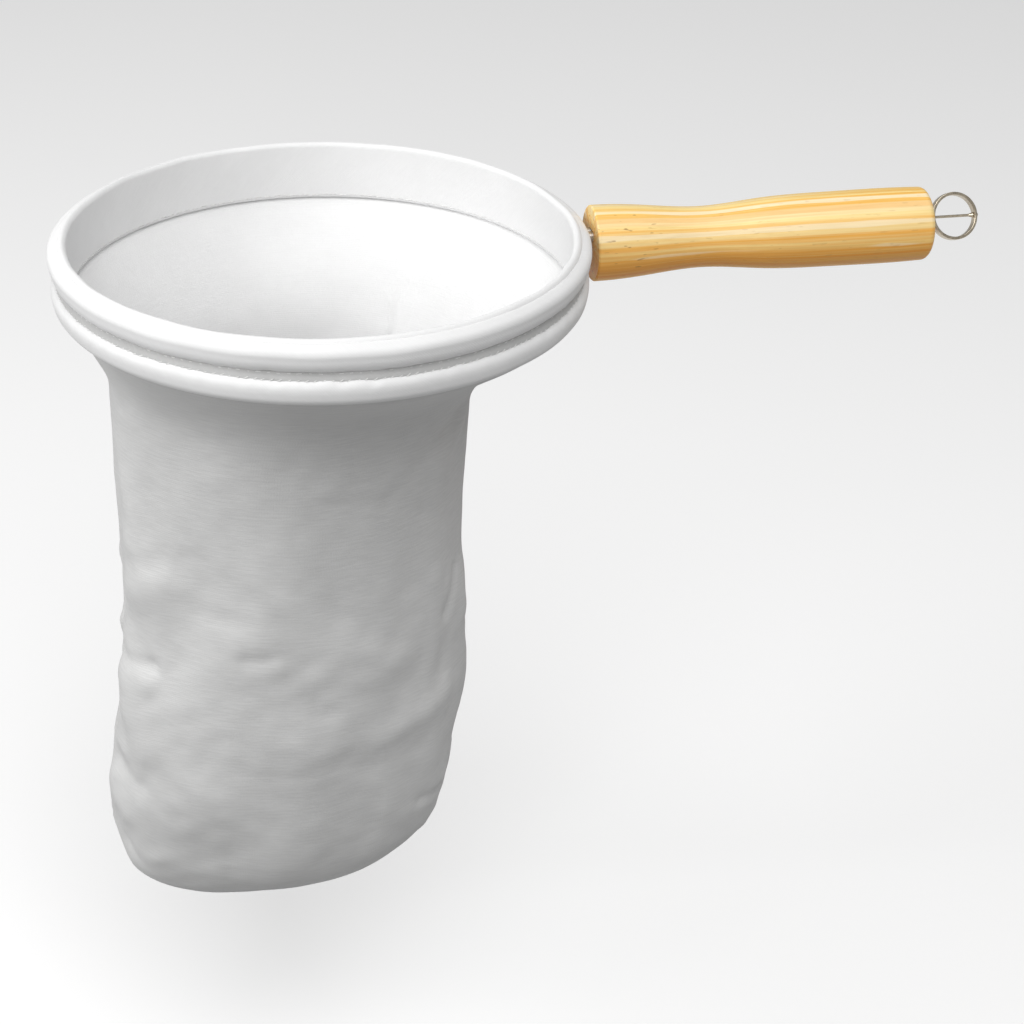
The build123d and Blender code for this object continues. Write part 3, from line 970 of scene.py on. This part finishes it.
class StrainerHem(bpy.types.Operator):
    """Rolled hem below the strip, the seat of the rim"""

    bl_idname = "strainer.hem_roll"
    bl_label = "Hem Roll"

    def execute(self, context):
        section = [
            (72.05, 0.2),
            (72.6, 0.0),
            (73.4, 0.5),
            (74.2, 1.5),
            (74.6, 2.9),
            (74.8, 4.3),
            (74.7, 5.5),
            (74.2, 6.4),
            (73.3, 6.9),
            (72.05, 6.9),
        ]
        profile = loop_through(section, 40)
        profile[:, 1] = np.maximum(profile[:, 1], 0.0)
        angle = np.linspace(0, 2 * np.pi, ROLL_COLUMNS, endpoint=False)
        outer = np.clip((profile[:, 0] - 72.6) / 1.4, 0, 1)[:, None]
        top = np.clip((profile[:, 1] - 4.0) / 2.5, 0, 1)[:, None]
        radial = waves(angle, 31, (5, 26), 0.12)[None] * outer - 0.05 * outer
        radial = radial + waves(angle, 32, (50, 120), 0.10)[None] * outer * top
        rise = (waves(angle, 33, (6, 24), 0.10)[None] + waves(angle, 34, (50, 120), 0.15)[None]) * top
        rise = rise + waves(angle, 35, (140, 240), 0.07)[None] * top
        obj = ring_piece("hem_binding", profile, ROLL_COLUMNS, radial, rise)
        finish_piece(obj, binding(), ["hem_roll"])
        return {"FINISHED"}


def ring_stitches(name, count, radius, height, length, thickness, slant, seed):
    """Stitches spaced evenly round a ring with a little unevenness. Slant, in degrees, turns each from level
    towards upright."""
    rng = np.random.default_rng(seed)
    angle = (np.arange(count) + rng.uniform(-0.08, 0.08, count)) * 2 * np.pi / count
    out = np.column_stack([np.cos(angle), np.sin(angle), 0 * angle])
    level = np.column_stack([-np.sin(angle), np.cos(angle), 0 * angle])
    lean = np.radians(slant) + rng.uniform(-0.12, 0.12, count)
    along = level * np.cos(lean)[:, None] + np.array([0, 0, 1.0]) * np.sin(lean)[:, None]
    centres = out * (radius + rng.uniform(-0.04, 0.04, count))[:, None]
    centres[:, 2] = height + rng.uniform(-0.10, 0.10, count)
    return stitches(name, centres * MM, along, out, length, thickness, thickness * 0.7)


class StrainerStitches(bpy.types.Operator):
    """Rows of stitches round the rim"""

    bl_idname = "strainer.stitch_rows"
    bl_label = "Stitch Rows"

    def execute(self, context):
        sizes = context.scene.strainer_sizes
        thread = sewing_thread()
        long, middling, short = sizes.stitch * 0.9, sizes.stitch * 0.82, 0.0019
        thick, thin = sizes.thread * 0.8, sizes.thread * 0.7
        # Name, node it stands for, count, ring radius, height, length, thickness, slant, seed
        rows = (
            ("casing_stitches", "casing_stitch", 176, 72.86, 8.95, middling, thick, 2.0, 51),
            ("hem_stitches", "hem_stitch", 210, 73.42, 6.95, short, thin, 30.0, 52),
            ("band_stitches", "band_stitch", 150, 69.86, 1.35, long, thick, 1.0, 53),
        )
        for name, node, *shape in rows:
            finish_piece(ring_stitches(name, *shape), thread, [node])
        return {"FINISHED"}


# ---------------------------------------------------------------- wood and metal
class StrainerHandle(bpy.types.Operator):
    """Finish of the turned handle"""

    bl_idname = "strainer.wood_handle"
    bl_label = "Wooden Handle"

    def execute(self, context):
        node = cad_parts["handle"]
        node.data.materials.clear()
        node.data.materials.append(wood_material(context.scene.strainer_colours))
        return {"FINISHED"}


class StrainerSteel(bpy.types.Operator):
    """Finish of the hoop wire, the ring pin and the hanging ring"""

    bl_idname = "strainer.steel_parts"
    bl_label = "Steel Parts"

    def execute(self, context):
        colours = context.scene.strainer_colours
        wire = steel_material("drawn_wire", colours.steel[:], 0.32, (90, 1500, 1500))
        strip = steel_material("rolled_strip", colours.strip[:], 0.22, (900, 300, 900))
        for name, finish in (("hoop_wire", wire), ("ring_pin", strip), ("hanging_ring", strip)):
            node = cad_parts[name]
            node.data.materials.clear()
            node.data.materials.append(finish)
        return {"FINISHED"}


# ---------------------------------------------------------------- studio
def area_light(name, place, target, size, power):
    """Square soft light at a place, facing a target."""
    data = bpy.data.lights.new(name, "AREA")
    data.shape = "SQUARE"
    data.size = size
    data.energy = power
    obj = bpy.data.objects.new(name, data)
    obj.location = place
    obj.rotation_euler = (Vector(target) - Vector(place)).to_track_quat("-Z", "Y").to_euler()
    bpy.context.scene.collection.objects.link(obj)


class StrainerStage(bpy.types.Operator):
    """Pale floor, soft light and camera"""

    bl_idname = "strainer.stage"
    bl_label = "Studio"

    def execute(self, context):
        scene = context.scene
        studio = scene.strainer_studio
        ticks = np.linspace(-FLOOR_REACH, FLOOR_REACH, 9)
        x, y = np.meshgrid(ticks, ticks)
        points = np.stack([x, y, 0 * x + FLOOR_LEVEL], -1)
        floor = make_mesh("studio_floor", points, sheet_faces(len(ticks), len(ticks), False, False))
        floor.data.materials.append(floor_material(scene.strainer_colours.floor[:]))
        # The floor throws no light back, so that the undersides stay in soft shade
        floor.visible_diffuse = False
        area_light("overhead_panel", (-0.2, 0.55, 1.9), (0, 0.1, 0), 2.6, studio.overhead)
        area_light("key_panel", (-0.12, -1.25, 1.72), (0, 0, 0), 1.4, studio.key)
        area_light("left_panel", (-1.2, -0.25, 0.6), (0, 0, -0.05), 0.9, studio.left)
        world = bpy.data.worlds.new("studio_walls")
        world.use_nodes = True
        world.node_tree.nodes["Background"].inputs[0].default_value = (1, 1, 1, 1)
        world.node_tree.nodes["Background"].inputs[1].default_value = studio.ambient
        scene.world = world
        scene.view_settings.view_transform = "Standard"
        azimuth, rise, roll = np.radians((CAMERA_AZIMUTH, CAMERA_RISE, CAMERA_ROLL))
        back = Vector((np.sin(azimuth) * np.cos(rise), -np.cos(azimuth) * np.cos(rise), np.sin(rise)))
        right = (-back).cross(Vector((0, 0, 1))).normalized()
        up = right.cross(-back)
        turned_right = right * np.cos(roll) + up * np.sin(roll)
        turned_up = up * np.cos(roll) - right * np.sin(roll)
        data = bpy.data.cameras.new("camera")
        data.lens = studio.lens
        data.sensor_width = 36.0
        camera = bpy.data.objects.new("camera", data)
        matrix = Matrix((turned_right, turned_up, back)).transposed().to_4x4()
        matrix.translation = Vector(CAMERA_TARGET) + back * CAMERA_DISTANCE
        camera.matrix_world = matrix
        scene.collection.objects.link(camera)
        scene.camera = camera
        return {"FINISHED"}


class StrainerPanel(bpy.types.Panel):
    """Sidebar panel that lists the pieces"""

    bl_idname = "VIEW3D_PT_strainer"
    bl_label = "Cloth Bag Strainer"
    bl_space_type = "VIEW_3D"
    bl_region_type = "UI"
    bl_category = "Strainer"

    def draw(self, context):
        scene = context.scene
        column = self.layout.column()
        for group in (scene.strainer_sizes, scene.strainer_colours, scene.strainer_studio):
            for name in group.__annotations__:
                column.prop(group, name)
        for operator in OPERATORS:
            column.operator(operator.bl_idname)


OPERATORS = (
    StrainerBag,
    StrainerSeam,
    StrainerBand,
    StrainerCasing,
    StrainerStrip,
    StrainerHem,
    StrainerStitches,
    StrainerHandle,
    StrainerSteel,
    StrainerStage,
)
CLASSES = (StrainerSizes, StrainerColours, StrainerStudio, *OPERATORS, StrainerPanel)


def register():
    for cls in CLASSES:
        bpy.utils.register_class(cls)
    bpy.types.Scene.strainer_sizes = bpy.props.PointerProperty(type=StrainerSizes)
    bpy.types.Scene.strainer_colours = bpy.props.PointerProperty(type=StrainerColours)
    bpy.types.Scene.strainer_studio = bpy.props.PointerProperty(type=StrainerStudio)


def unregister():
    del bpy.types.Scene.strainer_studio
    del bpy.types.Scene.strainer_colours
    del bpy.types.Scene.strainer_sizes
    for cls in reversed(CLASSES):
        bpy.utils.unregister_class(cls)


def main():
    register()
    bpy.ops.strainer.cloth_bag()
    bpy.ops.strainer.side_seam()
    bpy.ops.strainer.lining_band()
    bpy.ops.strainer.wire_casing()
    bpy.ops.strainer.edge_strip()
    bpy.ops.strainer.hem_roll()
    bpy.ops.strainer.stitch_rows()
    bpy.ops.strainer.wood_handle()
    bpy.ops.strainer.steel_parts()
    bpy.ops.strainer.stage()


if __name__ == "__main__":
    main()
